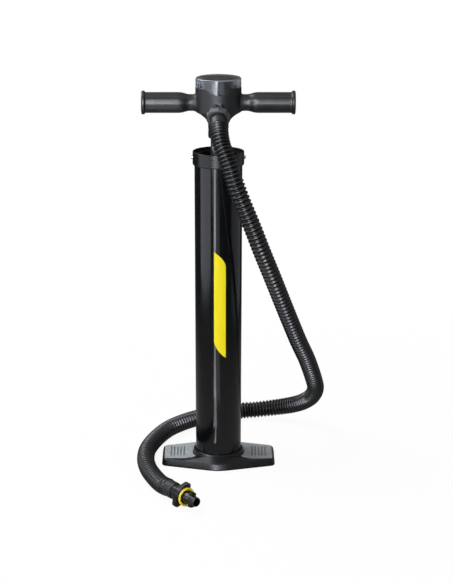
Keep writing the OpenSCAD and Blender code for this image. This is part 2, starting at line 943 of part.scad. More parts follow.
// The hose follows smooth curves through its route, from the upper cuff to the lower one
port_dir = [0, -cos(port_tilt), -sin(port_tilt)];
nozzle_dir = [cos(nozzle_turn), sin(nozzle_turn), 0];
hose_first = [0, -port_y, port_z] + (cuff_out + 0.1) * port_dir;
hose_last = nozzle_at - 0.05 * nozzle_dir;
hose_points = concat([hose_first], hose_route, [hose_last]);
hose_count = len(hose_points) - 1;
function hose_lead(i) =
    i == 0 ? 12 * port_dir :
    i == hose_count ? 18 * nozzle_dir :
    (hose_points[i + 1] - hose_points[i - 1]) / 2;
function hose_place(i, t) =
    hose_points[i] * (1 + 2 * t) * (1 - t) * (1 - t) + hose_lead(i) * t * (1 - t) * (1 - t)
    + hose_points[i + 1] * t * t * (3 - 2 * t) + hose_lead(i + 1) * t * t * (t - 1);
hose_line = concat(
    [for (i = [0 : hose_count - 1], k = [0 : hose_parts - 1]) hose_place(i, k / hose_parts)],
    [hose_last]);
hose_rings = len(hose_line);
function hose_dir(i) =
    i == 0 ? port_dir :
    i == hose_rings - 1 ? nozzle_dir :
    unit(hose_line[i + 1] - hose_line[i - 1]);
function hose_side(i) =
    i == 0 ? [1, 0, 0] :
    let (s = hose_side(i - 1), d = hose_dir(i)) unit(s - (s * d) * d);

module hose_tube() {
    n = hose_sides;
    sides = [for (i = [0 : hose_rings - 1]) hose_side(i)];
    inside = hose_rings * n;
    last = (hose_rings - 1) * n;
    points = [for (r = [hose_r, hose_r - hose_wall], i = [0 : hose_rings - 1], k = [0 : n - 1])
        let (u = sides[i], v = cross(hose_dir(i), u), a = 360 * k / n)
        hose_line[i] + r * (cos(a) * u + sin(a) * v)];
    outer = [for (i = [0 : hose_rings - 2], k = [0 : n - 1]) let (m = (k + 1) % n)
        [i * n + k, (i + 1) * n + k, (i + 1) * n + m, i * n + m]];
    inner = [for (i = [0 : hose_rings - 2], k = [0 : n - 1]) let (m = (k + 1) % n)
        [inside + i * n + m, inside + (i + 1) * n + m, inside + (i + 1) * n + k, inside + i * n + k]];
    ends = [for (k = [0 : n - 1]) let (m = (k + 1) % n)
        each [[k, m, inside + m, inside + k], [last + m, last + k, inside + last + k, inside + last + m]]];
    color("#17181a")
    polyhedron(points, concat(outer, inner, ends));
}

module hose_cuff_lower() {
    color("#1a1b1c")
    at_nozzle()
        difference() {
            rotate_extrude()
                polygon(concat(
                    [[0, 0], [cuff_r + 0.6, 0], [cuff_r + 0.6, cuff_len - 5]],
                    [[cuff_r, cuff_len - 4], [cuff_r, cuff_len], [0, cuff_len]]));
            translate([0, 0, 3])
                cylinder(r = cuff_r - 2.6, h = cuff_len);
        }
}

module nozzle_body() {
    neck_r = cuff_r - 1;
    face_r = gasket_d / 2 - gasket_t / 2;
    color("#191a1c")
    at_nozzle()
        difference() {
            union() {
                translate([0, 0, 4])
                    cylinder(r = cuff_r - 2.6 - run, h = wing_z - 4);
                translate([0, 0, cuff_len + 0.1])
                    cylinder(r = neck_r, h = wing_z - cuff_len);
                rotate([0, 0, wing_angle - 90])
                    hull() {
                        translate([0, 0, wing_z])
                            cylinder(r = neck_r + 1, h = wing_t, $fn = 48);
                        for (s = [-1, 1])
                            translate([s * wing_span / 2, 0, wing_z + 1])
                                cylinder(r = 5, h = wing_t - 2, $fn = 32);
                    }
                translate([0, 0, wing_z + 1])
                    cylinder(r1 = neck_r - 1, r2 = face_r, h = gasket_z - wing_z - 1);
            }
            translate([0, 0, 3])
                cylinder(r = tip_d / 2 - 2, h = 50);
            translate([0, 0, gasket_z - 8])
                cylinder(r = tip_d / 2 + run, h = 20);
        }
}

module nozzle_gasket() {
    color("#f0c419")
    at_nozzle()
        translate([0, 0, gasket_z + gasket_t / 2])
            round_ring(gasket_d / 2 - gasket_t / 2, gasket_t / 2);
}

module nozzle_tip() {
    r = tip_d / 2;
    nose_r = r - 0.4;
    color("#161719")
    at_nozzle()
        difference() {
            union() {
                rotate_extrude()
                    polygon(concat(
                        [[0, gasket_z - 7.9], [r, gasket_z - 7.9], [r, nose_z], [nose_r, nose_z]],
                        arc(nose_r - 2, nozzle_end - 2, 2, 0, 90, 5),
                        [[0, nozzle_end]]));
                translate([0, 0, gasket_z + 0.1])
                    cylinder(r1 = r + 2.8, r2 = r + 0.6, h = lug_z - gasket_z);
                rotate([0, 0, lug_angle - 90])
                    intersection() {
                        translate([0, 0, lug_z])
                            cylinder(r = lug_r, h = lug_t, $fn = 48);
                        translate([-lug_r, -lug_w / 2, lug_z])
                            cube([2 * lug_r, lug_w, lug_t]);
                    }
            }
            translate([0, 0, gasket_z - 10])
                cylinder(r = r - 2, h = 40);
        }
}

base_foot();
foot_pad_left();
foot_pad_right();
base_screws();
barrel_tube();
barrel_plug();
plug_ring();
lower_buffer();
upper_buffer();
barrel_cap();
cap_gasket();
cap_screws();
rod_bush();
rod_wiper();
rod_tube();
air_tube();
rod_pins();
piston_body();
piston_ring();
piston_nut();
handle_hub();
grip_core_left();
grip_core_right();
grip_left();
grip_right();
grip_plugs();
valve_block();
valves_down();
valves_up();
gauge_case();
gauge_stem();
gauge_spiral();
gauge_dial();
gauge_needle();
gauge_lens();
hose_nut();
hose_cuff_upper();
hose_tube();
hose_cuff_lower();
nozzle_body();
nozzle_gasket();
nozzle_tip();
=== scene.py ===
import math

import bpy
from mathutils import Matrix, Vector


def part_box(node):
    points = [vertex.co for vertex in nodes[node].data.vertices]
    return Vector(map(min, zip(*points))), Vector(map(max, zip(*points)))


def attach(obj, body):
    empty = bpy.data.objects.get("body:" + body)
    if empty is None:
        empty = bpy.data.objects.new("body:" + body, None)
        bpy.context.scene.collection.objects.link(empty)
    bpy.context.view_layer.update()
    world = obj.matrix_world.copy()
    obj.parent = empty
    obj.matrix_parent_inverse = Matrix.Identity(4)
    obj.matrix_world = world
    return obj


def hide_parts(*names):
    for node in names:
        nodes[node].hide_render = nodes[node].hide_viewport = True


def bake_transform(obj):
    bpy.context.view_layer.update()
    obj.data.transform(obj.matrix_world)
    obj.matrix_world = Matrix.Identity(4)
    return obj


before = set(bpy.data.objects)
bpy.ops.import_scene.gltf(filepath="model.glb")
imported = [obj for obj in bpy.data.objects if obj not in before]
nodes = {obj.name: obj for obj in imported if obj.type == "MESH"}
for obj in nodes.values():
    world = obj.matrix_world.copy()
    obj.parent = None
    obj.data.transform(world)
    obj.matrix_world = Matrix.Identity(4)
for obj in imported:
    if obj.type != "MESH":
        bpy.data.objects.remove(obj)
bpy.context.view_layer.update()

mm = 0.001
weldReach = 1e-6            # metres; points closer than this are one
facing = 0.9                # part of a normal along an axis from which a face looks that way
print("frame loaded,", len(nodes), "nodes")


def deselectAll():
    if bpy.context.object and bpy.context.object.mode != "OBJECT":
        bpy.ops.object.mode_set(mode="OBJECT")
    bpy.ops.object.select_all(action="DESELECT")


def makeActive(piece):
    deselectAll()
    piece.select_set(True)
    bpy.context.view_layer.objects.active = piece


def addPiece(name, mesh):
    piece = bpy.data.objects.new(name, mesh)
    bpy.context.scene.collection.objects.link(piece)
    makeActive(piece)
    return piece


# leaves a mesh in edit mode with only the faces selected that pass the test
def selectFaces(piece, test):
    makeActive(piece)
    bpy.ops.object.mode_set(mode="EDIT")
    bpy.ops.mesh.select_mode(type="FACE")
    bpy.ops.mesh.select_all(action="DESELECT")
    bpy.ops.object.mode_set(mode="OBJECT")
    for face in piece.data.polygons:
        face.select = test(face)
    bpy.ops.object.mode_set(mode="EDIT")


def mergeDoubles(piece):
    selectFaces(piece, lambda face: True)
    bpy.ops.mesh.remove_doubles(threshold=weldReach)
    bpy.ops.mesh.normals_make_consistent(inside=False)
    bpy.ops.object.mode_set(mode="OBJECT")


def applyModifier(piece, kind, **settings):
    makeActive(piece)
    modifier = piece.modifiers.new(kind.lower(), kind)
    for name, value in settings.items():
        setattr(modifier, name, value)
    bpy.ops.object.modifier_apply(modifier=modifier.name)


def joinPieces(parts):
    deselectAll()
    for part in parts:
        part.select_set(True)
    bpy.context.view_layer.objects.active = parts[0]
    bpy.ops.object.join()
    return parts[0]


# puts a finished piece at the origin, smooths it and hangs it on its body
def finishPiece(piece, name, body, material, smoothAngle=35, node=None):
    piece.name = name
    piece.data.name = name
    makeActive(piece)
    bpy.ops.object.transform_apply(location=True, rotation=True, scale=True)
    bpy.ops.object.shade_smooth_by_angle(angle=math.radians(smoothAngle))
    piece.data.materials.clear()
    piece.data.materials.append(material)
    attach(piece, body)
    if node:
        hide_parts(node)
    return piece


# Camera at the photo's angle; the image is taken to be 452 x 584
camera = {
    "imageWidth": 452,
    "imageHeight": 584,
    "focalPixels": 1800,
    "sensorWidth": 36,      # mm
    "pitch": 15.5,          # degrees below the horizon
    "aimHeight": 0.2678,    # point of the barrel's axis at mid picture
    "distance": 2.727,
    "axisPixel": 218.4,     # column of the barrel's axis
}


def makeCamera():
    pitch = math.radians(camera["pitch"])
    away = Vector((0, -math.cos(pitch), math.sin(pitch))) * camera["distance"]
    deselectAll()
    bpy.ops.object.camera_add(
        location=Vector((0, 0, camera["aimHeight"])) + away,
        rotation=(math.pi / 2 - pitch, 0, 0))
    eye = bpy.context.object
    eye.name = "photoCamera"
    eye.data.sensor_width = camera["sensorWidth"]
    eye.data.lens = camera["focalPixels"] / camera["imageHeight"] * camera["sensorWidth"]
    eye.data.shift_x = (camera["imageWidth"] / 2 - camera["axisPixel"]) / camera["imageHeight"]
    bpy.context.scene.camera = eye


makeCamera()
print("camera set")


# One sRGB hex value to the linear colour that the shaders take
def hexToLinear(code):
    parts = [int(code[i:i + 2], 16) / 255 for i in (1, 3, 5)]
    linear = [c / 12.92 if c <= 0.04045 else ((c + 0.055) / 1.055) ** 2.4 for c in parts]
    return (*linear, 1)


# Gives each input of a node a value, or a link where the value is another node's output
def fillInputs(tree, node, inputs):
    for name, value in inputs.items():
        if isinstance(value, bpy.types.NodeSocket):
            tree.links.new(value, node.inputs[name])
        else:
            node.inputs[name].default_value = value


# Adds a node with its properties, its inputs and, on a colour ramp, its stops
def addNode(tree, kind, inputs=None, stops=(), **settings):
    node = tree.nodes.new(kind)
    for name, value in settings.items():
        setattr(node, name, value)
    for i, (position, code) in enumerate(stops):
        node.color_ramp.elements[i].position = position
        node.color_ramp.elements[i].color = hexToLinear(code)
    fillInputs(tree, node, inputs or {})
    return node


def startMaterial(name):
    material = bpy.data.materials.new(name)
    material.use_nodes = True
    tree = material.node_tree
    shader = tree.nodes["Principled BSDF"]
    place = addNode(tree, "ShaderNodeTexCoord").outputs["Object"]
    return material, tree, shader, place


# What the moulded finishes share; a real grain is finer than a pixel, so it is drawn coarser to show
mouldedLook = {
    "darkAt": 0.3,          # level of the mottle that gives the dark tone
    "lightAt": 0.7,
    "mottleRoughness": 0.6,
    "glossSpread": 0.12,    # share by which the roughness rises and falls
    "grainHigh": 0.1,       # mm
}


# Mottled plastic: two close tones, a fine moulded grain and a slow change of gloss
def mouldedMaterial(name, dark, light, roughness, grainMm, grainDepth, mottleMm=18, ior=1.5):
    material, tree, shader, place = startMaterial(name)
    low = mouldedLook["darkAt"]
    high = mouldedLook["lightAt"]
    spread = mouldedLook["glossSpread"]
    mottle = addNode(tree, "ShaderNodeTexNoise",
                     {"Vector": place, "Scale": 1 / (mottleMm * mm), "Detail": 4,
                      "Roughness": mouldedLook["mottleRoughness"]}).outputs["Fac"]
    grain = addNode(tree, "ShaderNodeTexNoise",
                    {"Vector": place, "Scale": 1 / (grainMm * mm), "Detail": 2}).outputs["Fac"]
    tone = addNode(tree, "ShaderNodeValToRGB", {"Fac": mottle}, stops=[(low, dark), (high, light)])
    gloss = addNode(tree, "ShaderNodeMapRange",
                    {"Value": mottle, "From Min": low, "From Max": high,
                     "To Min": roughness * (1 - spread), "To Max": roughness * (1 + spread)})
    bump = addNode(tree, "ShaderNodeBump",
                   {"Height": grain, "Strength": grainDepth, "Distance": mouldedLook["grainHigh"] * mm})
    fillInputs(tree, shader, {
        "Base Color": tone.outputs["Color"], "Roughness": gloss.outputs["Result"],
        "Normal": bump.outputs["Normal"], "IOR": ior})
    return material


# What the drawn metals share
drawnLook = {
    "glossSpread": 0.25,    # share by which the roughness rises and falls
    "lineDepth": 0.15,      # strength of the bump
    "lineHigh": 0.05,       # mm
}


# Metal with draw lines along one axis; the stretch draws the streaks out
def drawnMetalMaterial(name, dark, light, roughness, streakMm, stretch=(1, 1, 1)):
    material, tree, shader, place = startMaterial(name)
    spread = drawnLook["glossSpread"]
    pulled = addNode(tree, "ShaderNodeMapping", {"Vector": place, "Scale": stretch}).outputs["Vector"]
    streaks = addNode(tree, "ShaderNodeTexNoise",
                      {"Vector": pulled, "Scale": 1 / (streakMm * mm), "Detail": 3}).outputs["Fac"]
    tone = addNode(tree, "ShaderNodeValToRGB", {"Fac": streaks}, stops=[(0, dark), (1, light)])
    gloss = addNode(tree, "ShaderNodeMapRange",
                    {"Value": streaks,
                     "To Min": roughness * (1 - spread), "To Max": roughness * (1 + spread)})
    bump = addNode(tree, "ShaderNodeBump",
                   {"Height": streaks, "Strength": drawnLook["lineDepth"],
                    "Distance": drawnLook["lineHigh"] * mm})
    fillInputs(tree, shader, {
        "Base Color": tone.outputs["Color"], "Roughness": gloss.outputs["Result"],
        "Normal": bump.outputs["Normal"], "Metallic": 1})
    return material


# Paints shade on what lies below a level, darkening it as shade in grooves; the top tenth of a groove is
# left unshaded
def soilGrooves(material, level, depthMm, shadeColour, unshadedShare=0.1):
    tree = material.node_tree
    shader = tree.nodes["Principled BSDF"]
    unshadedColour = shader.inputs["Base Color"].links[0].from_socket
    place = addNode(tree, "ShaderNodeTexCoord").outputs["Object"]
    height = addNode(tree, "ShaderNodeSeparateXYZ", {"Vector": place}).outputs["Z"]
    depth = depthMm * mm
    share = addNode(tree, "ShaderNodeMapRange",
                    {"Value": height, "From Min": level - depth, "From Max": level - unshadedShare * depth})
    # sockets 6 and 7 are the two colours, and output 2 is the mixed one
    # the groove floors take the darker colour as painted shade
    mixed = addNode(tree, "ShaderNodeMix",
                    {"Factor": share.outputs["Result"], 6: hexToLinear(shadeColour), 7: unshadedColour}, data_type="RGBA")
    fillInputs(tree, shader, {"Base Color": mixed.outputs[2]})


# Polypropylene from a spark-eroded mould: near black, a soft wide highlight
satinPolypropylene = mouldedMaterial("satinPolypropylene", "#0d0e0f", "#151617",
                                     roughness=0.48, grainMm=0.7, grainDepth=0.2)
# The same plastic on the grips, polished by hands: a little darker and smoother
gripPolypropylene = mouldedMaterial("gripPolypropylene", "#0b0c0d", "#121314",
                                    roughness=0.34, grainMm=0.9, grainDepth=0.15)
# A glossier black of the cap and the nozzle
glossPolypropylene = mouldedMaterial("glossPolypropylene", "#08090a", "#0f1011",
                                     roughness=0.28, grainMm=0.9, grainDepth=0.12, ior=1.44)
# The same black on the base, a little duller
basePolypropylene = mouldedMaterial("basePolypropylene", "#08090a", "#0f1011",
                                    roughness=0.3, grainMm=0.9, grainDepth=0.12, ior=1.38)
# Thermoplastic rubber of the foot pads: mid grey, dull, a dusty mottle, painted shade between the ribs
footPadRubber = mouldedMaterial("footPadRubber", "#8f9497", "#a3a8ab",
                                roughness=0.62, grainMm=0.8, grainDepth=0.35, mottleMm=9)
# the grooves between the ribs get painted shade
soilGrooves(footPadRubber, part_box("foot_pad_left")[1].z, depthMm=0.5, shadeColour="#6b6f72")
# Natural acetal of the inner guides: off-white, slightly waxy
naturalAcetal = mouldedMaterial("naturalAcetal", "#d2d2ca", "#deded8",
                                roughness=0.35, grainMm=1.2, grainDepth=0.1)
# Glass-filled nylon of the hose nut: dark grey with a dry surface
greyNylon = mouldedMaterial("greyNylon", "#383c3f", "#484b4e",
                            roughness=0.5, grainMm=0.7, grainDepth=0.3, mottleMm=8)
# Grey polypropylene of the valve block, the piston and the grips' cores: plain and satin
innerPolypropylene = mouldedMaterial("innerPolypropylene", "#45484b", "#515457",
                                     roughness=0.45, grainMm=0.9, grainDepth=0.2)
# Nitrile rubber of the rings and buffers: black and dull
nitrileRubber = mouldedMaterial("nitrileRubber", "#0d0d0d", "#171717",
                                roughness=0.65, grainMm=0.6, grainDepth=0.3, mottleMm=7)
# Silicone of the valve discs: brick red, soft gloss
siliconeRubber = mouldedMaterial("siliconeRubber", "#a83f2a", "#bd4c33",
                                 roughness=0.42, grainMm=0.8, grainDepth=0.1, mottleMm=6)
# Yellow rubber of the sealing ring: strong colour, soft gloss
yellowRubber = mouldedMaterial("yellowRubber", "#e9cb0c", "#f3d81a",
                               roughness=0.45, grainMm=0.5, grainDepth=0.15, mottleMm=6)
# Drawn aluminium of the rod: fine lines along its length
drawnAluminium = drawnMetalMaterial("drawnAluminium", "#b4b7ba", "#d6d9dc",
                                    roughness=0.3, streakMm=1.2, stretch=(1, 1, 0.04))
# Zinc-plated steel of screws, pins and nut: pale and a little cloudy
zincSteel = drawnMetalMaterial("zincSteel", "#a9acb0", "#c8cbcf", roughness=0.28, streakMm=1.0)
# Brass of the gauge's stem and coil: warm, with a soft shine
brass = drawnMetalMaterial("brass", "#b8893a", "#d3a956", roughness=0.3, streakMm=1.0)


barrelFinish = {
    "dark": "#08090a",
    "light": "#111214",
    "hazeMm": 45,
    "lineMm": 2.5,
    "lineStretch": 0.02,
    "lineDepth": 0.04,
    "lineHigh": 0.05,       # mm
    "hazeFrom": 0.3,
    "hazeTo": 0.7,
    "smoothest": 0.1,
    "roughest": 0.16,
    "ior": 1.48,
}


# Extruded ABS of the barrel: deep black gloss with faint draw lines along the tube
def barrelAbsMaterial():
    material, tree, shader, place = startMaterial("barrelAbs")
    pulled = addNode(tree, "ShaderNodeMapping",
                     {"Vector": place, "Scale": (1, 1, barrelFinish["lineStretch"])}).outputs["Vector"]
    lines = addNode(tree, "ShaderNodeTexNoise",
                    {"Vector": pulled, "Scale": 1 / (barrelFinish["lineMm"] * mm), "Detail": 3})
    haze = addNode(tree, "ShaderNodeTexNoise",
                   {"Vector": place, "Scale": 1 / (barrelFinish["hazeMm"] * mm), "Detail": 4}).outputs["Fac"]
    tone = addNode(tree, "ShaderNodeValToRGB", {"Fac": haze},
                   stops=[(0, barrelFinish["dark"]), (1, barrelFinish["light"])])
    gloss = addNode(tree, "ShaderNodeMapRange",
                    {"Value": haze, "From Min": barrelFinish["hazeFrom"], "From Max": barrelFinish["hazeTo"],
                     "To Min": barrelFinish["smoothest"], "To Max": barrelFinish["roughest"]})
    bump = addNode(tree, "ShaderNodeBump",
                   {"Height": lines.outputs["Fac"], "Strength": barrelFinish["lineDepth"],
                    "Distance": barrelFinish["lineHigh"] * mm})
    fillInputs(tree, shader, {
        "Base Color": tone.outputs["Color"], "Roughness": gloss.outputs["Result"],
        "Normal": bump.outputs["Normal"], "IOR": barrelFinish["ior"]})
    return material


coverFinish = {
    "tint": "#b4bac0",
    "rimHighlightShare": 0.5,       # how strong the painted highlight on the rounded rim is
    "edgeFrom": 2.2,        # mm in from the cover's side
    "edgeTo": 0.8,
    "edgeLow": 1.9,         # mm below the cover's top
    "edgeHigh": 0.9,
    "postHighlightShare": 0.55,      # how strong the painted highlight in the posts under the cover is
    "postInset": 2.7,       # mm in from the cover's side
    "postHigh": 2.6,        # mm below the cover's top
    "postLow": 2.8,
    "scratchMm": 3,
    "scratchSharpness": 0.8,
    "scratchFrom": 0.55,
    "scratchTo": 0.75,
    "smoothest": 0.16,
    "roughest": 0.24,
    "ior": 1.585,
}


# Clear polycarbonate of the gauge's cover: glassy, a few hair scratches, with a painted highlight along its
# rim and in its posts, where it is made paler and less clear
def clearPolycarbonateMaterial():
    material, tree, shader, place = startMaterial("clearPolycarbonate")
    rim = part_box("gauge_lens")[1]
    inFrom = {name: rim.x - coverFinish[name] * mm for name in ("edgeFrom", "edgeTo", "postInset")}
    below = {name: rim.z - coverFinish[name] * mm for name in ("edgeLow", "edgeHigh", "postHigh", "postLow")}
    flat = addNode(tree, "ShaderNodeVectorMath", {0: place, 1: (1, 1, 0)}, operation="MULTIPLY")
    away = addNode(tree, "ShaderNodeVectorMath",
                   {0: flat.outputs["Vector"]}, operation="LENGTH").outputs["Value"]
    height = addNode(tree, "ShaderNodeSeparateXYZ", {"Vector": place}).outputs["Z"]
    outer = addNode(tree, "ShaderNodeMapRange",
                    {"Value": away, "From Min": inFrom["edgeFrom"], "From Max": inFrom["edgeTo"]})
    upper = addNode(tree, "ShaderNodeMapRange",
                    {"Value": height, "From Min": below["edgeLow"], "From Max": below["edgeHigh"],
                     "To Max": coverFinish["rimHighlightShare"]})
    inner = addNode(tree, "ShaderNodeMath", {0: away, 1: inFrom["postInset"]}, operation="LESS_THAN")
    lower = addNode(tree, "ShaderNodeMapRange",
                    {"Value": height, "From Min": below["postHigh"], "From Max": below["postLow"],
                     "To Max": coverFinish["postHighlightShare"]})
    # the rim and the posts are made pale and less clear as a painted highlight
    edge = addNode(tree, "ShaderNodeMath",
                   {0: outer.outputs["Result"], 1: upper.outputs["Result"]}, operation="MULTIPLY")
    postHighlight = addNode(tree, "ShaderNodeMath",
                   {0: inner.outputs["Value"], 1: lower.outputs["Result"]}, operation="MULTIPLY")
    paintedHighlight = addNode(tree, "ShaderNodeMath",
                   {0: edge.outputs["Value"], 1: postHighlight.outputs["Value"]}, operation="MAXIMUM")
    clear = addNode(tree, "ShaderNodeMath", {0: 1, 1: paintedHighlight.outputs["Value"]}, operation="SUBTRACT")
    scratches = addNode(tree, "ShaderNodeTexNoise",
                        {"Vector": place, "Scale": 1 / (coverFinish["scratchMm"] * mm),
                         "Detail": 6, "Roughness": coverFinish["scratchSharpness"]})
    gloss = addNode(tree, "ShaderNodeMapRange",
                    {"Value": scratches.outputs["Fac"],
                     "From Min": coverFinish["scratchFrom"], "From Max": coverFinish["scratchTo"],
                     "To Min": coverFinish["smoothest"], "To Max": coverFinish["roughest"]})
    fillInputs(tree, shader, {
        "Base Color": hexToLinear(coverFinish["tint"]), "Roughness": gloss.outputs["Result"],
        "Transmission Weight": clear.outputs["Value"], "IOR": coverFinish["ior"]})
    return material


hoseFinish = {
    # the darker groove colour is painted shade
    "groove": "#050606",
    "crest": "#151618",
    "crestAt": 0.6,         # level of the random speck and painted groove shade that gives the crests' tone
    "speckMm": 5,
    "grainMm": 0.9,
    "grainDepth": 0.06,
    "grainHigh": 0.1,       # mm
    "grooveRoughness": 0.26,
    "crestRoughness": 0.28,
    "grooveSpecular": 0.24,
    "crestSpecular": 0.62,
}


# Polyethylene of the hose: crests paler and shinier, dull grooves darkened with painted shade, by its ridge
# attribute; the crests' tone also varies at random with a speck
def hosePolyethyleneMaterial():
    material, tree, shader, place = startMaterial("hosePolyethylene")
    ridge = addNode(tree, "ShaderNodeAttribute", attribute_name="ridge").outputs["Fac"]
    speck = addNode(tree, "ShaderNodeTexNoise",
                    {"Vector": place, "Scale": 1 / (hoseFinish["speckMm"] * mm), "Detail": 5})
    grain = addNode(tree, "ShaderNodeTexNoise",
                    {"Vector": place, "Scale": 1 / (hoseFinish["grainMm"] * mm), "Detail": 2})
    grooveShadeAndSpeck = addNode(tree, "ShaderNodeMath", {0: ridge, 1: speck.outputs["Fac"]}, operation="MULTIPLY")
    tone = addNode(tree, "ShaderNodeValToRGB", {"Fac": grooveShadeAndSpeck.outputs["Value"]},
                   stops=[(0, hoseFinish["groove"]), (hoseFinish["crestAt"], hoseFinish["crest"])])
    gloss = addNode(tree, "ShaderNodeMapRange",
                    {"Value": ridge, "To Min": hoseFinish["grooveRoughness"],
                     "To Max": hoseFinish["crestRoughness"]})
    shine = addNode(tree, "ShaderNodeMapRange",
                    {"Value": ridge, "To Min": hoseFinish["grooveSpecular"],
                     "To Max": hoseFinish["crestSpecular"]})
    bump = addNode(tree, "ShaderNodeBump",
                   {"Height": grain.outputs["Fac"], "Strength": hoseFinish["grainDepth"],
                    "Distance": hoseFinish["grainHigh"] * mm})
    fillInputs(tree, shader, {
        "Base Color": tone.outputs["Color"], "Roughness": gloss.outputs["Result"],
        "Specular IOR Level": shine.outputs["Result"], "Normal": bump.outputs["Normal"]})
    return material


labelFinish = {
    "dark": "#ffe80d",
    "light": "#ffee16",
    "mottleMm": 12,
    "mottleDepth": 0.05,
    "mottleHigh": 0.1,      # mm
    "roughness": 0.45,
    "ior": 1.22,
}


# Vinyl film of the label: flat yellow, matt, slightly uneven
def labelVinylMaterial():
    material, tree, shader, place = startMaterial("labelVinyl")
    mottle = addNode(tree, "ShaderNodeTexNoise",
                     {"Vector": place, "Scale": 1 / (labelFinish["mottleMm"] * mm),
                      "Detail": 4}).outputs["Fac"]
    tone = addNode(tree, "ShaderNodeValToRGB", {"Fac": mottle},
                   stops=[(0, labelFinish["dark"]), (1, labelFinish["light"])])
    bump = addNode(tree, "ShaderNodeBump",
                   {"Height": mottle, "Strength": labelFinish["mottleDepth"],
                    "Distance": labelFinish["mottleHigh"] * mm})
    fillInputs(tree, shader, {
        "Base Color": tone.outputs["Color"], "Roughness": labelFinish["roughness"],
        "Normal": bump.outputs["Normal"], "IOR": labelFinish["ior"]})
    return material


barrelAbs = barrelAbsMaterial()
clearPolycarbonate = clearPolycarbonateMaterial()
hosePolyethylene = hosePolyethyleneMaterial()
labelVinyl = labelVinylMaterial()
# Enamel of the dial's face: dark and satin
dialEnamel = mouldedMaterial("dialEnamel", "#131518", "#1a1d20", roughness=0.4, grainMm=0.6, grainDepth=0.1)
# Ink of the dial's marks: pale and flat
dialInk = mouldedMaterial("dialInk", "#d9dcde", "#e6e8ea", roughness=0.5, grainMm=0.5, grainDepth=0.1)
# Lacquer of the needle: off-white, a soft shine
needleLacquer = mouldedMaterial("needleLacquer", "#d6d6d0", "#e2e2dc",
                                roughness=0.35, grainMm=0.6, grainDepth=0.1)
print("materials made")


# Hose: a corrugated tube along the CAD route, from the upper cuff to the nozzle's cuff
hose = {
    "diameter": 0.0275,
    # share of the length and spacing of the ridges there: the hose is drawn out where it hangs
    "ridgePitch": [
        (0, 0.0048), (0.04, 0.0049), (0.055, 0.0057), (0.08, 0.0062), (0.1, 0.0067), (0.28, 0.0068),
        (0.335, 0.006), (0.385, 0.0055), (0.72, 0.0058), (0.8, 0.0067), (0.88, 0.0078), (1, 0.0072)],
    "ridgeDepth": 0.0026,
    "crestInset": 0.00025,   # keeps the crests inside the solid hose
    "ringsPerRidge": 10,
    "sides": 36,
    "stepsPerLeg": 60,       # of the curve, from one point of the route to the next
    "portMiddle": (0, -0.036, 0.5385),
    "portTilt": 35,          # degrees below the horizon
    "portLead": 0.012,       # how far the hose keeps the port's direction
    "cuffReach": 0.0141,     # past the port's middle
    "nozzlePlace": (-0.072, -0.168, 0.0172),
    "nozzleTurn": -54,       # degrees, seen from above
    "nozzleLead": 0.018,
    "route": [
        (0.0015, -0.060, 0.5215), (0.003, -0.067, 0.514), (0.0055, -0.073, 0.505), (0.009, -0.077, 0.497),
        (0.013, -0.080, 0.487), (0.018, -0.083, 0.473), (0.025, -0.085, 0.4515), (0.033, -0.0845, 0.429),
        (0.042, -0.081, 0.406), (0.051, -0.076, 0.383), (0.063, -0.067, 0.350), (0.082, -0.047, 0.299),
        (0.101, -0.021, 0.246), (0.122, 0.012, 0.188), (0.138, 0.040, 0.147), (0.151, 0.075, 0.103),
        (0.155, 0.104, 0.078), (0.150, 0.131, 0.056), (0.138, 0.150, 0.041), (0.125, 0.163, 0.032),
        (0.109, 0.174, 0.025), (0.086, 0.182, 0.019), (0.060, 0.185, 0.015), (0.038, 0.183, 0.014),
        (0.000, 0.168, 0.014), (-0.040, 0.142, 0.014), (-0.069, 0.111, 0.014), (-0.086, 0.082, 0.014),
        (-0.101, 0.040, 0.014), (-0.110, -0.002, 0.014), (-0.111, -0.044, 0.014), (-0.106, -0.080, 0.014),
        (-0.099, -0.106, 0.014), (-0.089, -0.134, 0.014), (-0.081, -0.152, 0.015)],
}


def nozzleDirection():
    turn = math.radians(hose["nozzleTurn"])
    return Vector((math.cos(turn), math.sin(turn), 0))


def portDirection():
    tilt = math.radians(hose["portTilt"])
    return Vector((0, -math.cos(tilt), -math.sin(tilt)))


def ridgePitchAt(share):
    stations = hose["ridgePitch"]
    for (low, pitch), (high, nextPitch) in zip(stations, stations[1:]):
        if share <= high:
            return pitch + (nextPitch - pitch) * (share - low) / (high - low)
    return stations[-1][1]


# Smooth curve through the route, as in the CAD
def hoseCurve():
    first = Vector(hose["portMiddle"]) + portDirection() * hose["cuffReach"]
    last = Vector(hose["nozzlePlace"])
    points = [first, *map(Vector, hose["route"]), last]
    leads = [(points[i + 1] - points[i - 1]) / 2 for i in range(1, len(points) - 1)]
    leads = [portDirection() * hose["portLead"], *leads, nozzleDirection() * hose["nozzleLead"]]
    fine = []
    for i in range(len(points) - 1):
        for k in range(hose["stepsPerLeg"]):
            t = k / hose["stepsPerLeg"]
            fine.append(points[i] * (1 + 2 * t) * (1 - t) ** 2 + leads[i] * t * (1 - t) ** 2
                        + points[i + 1] * t * t * (3 - 2 * t) + leads[i + 1] * t * t * (t - 1))
    return [*fine, last]


# Centres of the rings along the curve, with even steps from ridge to ridge
def hoseCentres():
    fine = hoseCurve()
    steps = [(b - a).length for a, b in zip(fine, fine[1:])]
    length = sum(steps)
    reach = 0
    ridges = [0]
    for step in steps:
        reach += step
        ridges.append(ridges[-1] + step / ridgePitchAt(reach / length))
    count = round(ridges[-1]) * hose["ringsPerRidge"]
    centres = []
    at = 0
    for i in range(count + 1):
        goal = ridges[-1] * i / count
        while at < len(fine) - 2 and ridges[at + 1] < goal:
            at += 1
        share = (goal - ridges[at]) / (ridges[at + 1] - ridges[at])
        centres.append(fine[at].lerp(fine[at + 1], share))
    return centres, length


